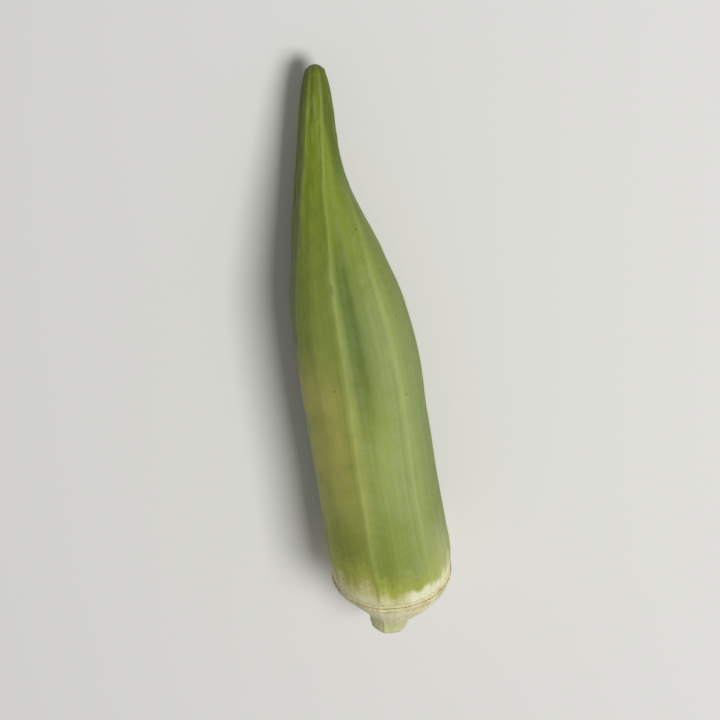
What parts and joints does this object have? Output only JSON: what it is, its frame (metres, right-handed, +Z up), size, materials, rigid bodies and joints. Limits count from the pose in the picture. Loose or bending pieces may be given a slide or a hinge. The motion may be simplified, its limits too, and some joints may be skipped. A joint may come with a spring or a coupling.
{
  "type": "okra pod",
  "caption": "Fresh green okra pod as picked: a long ridged pod tapering to a slender beak, with a pale conical cap and a short cut stem, lying on its side.",
  "frame": {"origin": "on the surface the pod lies on, under the middle of its bounding box", "axes": "+Y along the pod from the stem towards the tip of the beak, +X across it to the right as seen from above with the tip away, +Z up from the surface it lies on"},
  "size_m": [0.024, 0.1164, 0.0234],
  "materials": {
    "pod_skin": "matte"
  },
  "bodies": {
    "root": {"okra_pod": "pod_skin"}
  },
  "joints": []
}
